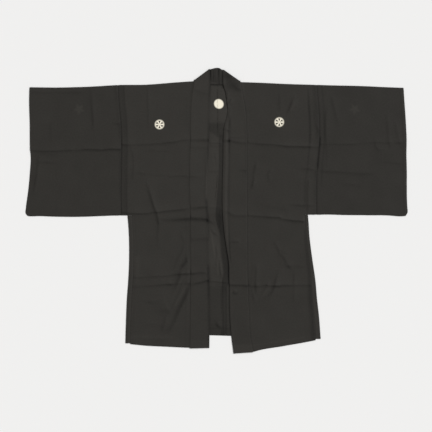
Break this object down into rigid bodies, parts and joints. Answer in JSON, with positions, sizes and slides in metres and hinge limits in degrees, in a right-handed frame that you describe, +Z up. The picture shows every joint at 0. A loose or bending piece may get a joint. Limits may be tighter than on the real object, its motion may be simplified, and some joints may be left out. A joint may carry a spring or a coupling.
{
  "type": "haori jacket laid flat",
  "caption": "Unlined black silk haori jacket with crest roundels, laid flat with its front up, wide sleeves spread and the folded collar running round the neck and down both fronts.",
  "frame": {"origin": "middle of the laid garment's outline, on the surface that it lies on", "axes": "+X towards the wearer's left cuff, +Y towards the collar, +Z up through the cloth"},
  "size_m": [1.3171, 0.9856, 0.0049],
  "materials": {
    "black_silk": "sheer black ribbed silk, one layer over another, with off-white dyed crests",
    "collar_silk": "the same black silk, doubled"
  },
  "bodies": {
    "root": {"body_right": "black_silk", "body_left": "black_silk", "sleeve_right": "black_silk", "sleeve_left": "black_silk", "gusset_right": "black_silk", "gusset_left": "black_silk", "collar": "collar_silk"}
  },
  "joints": []
}
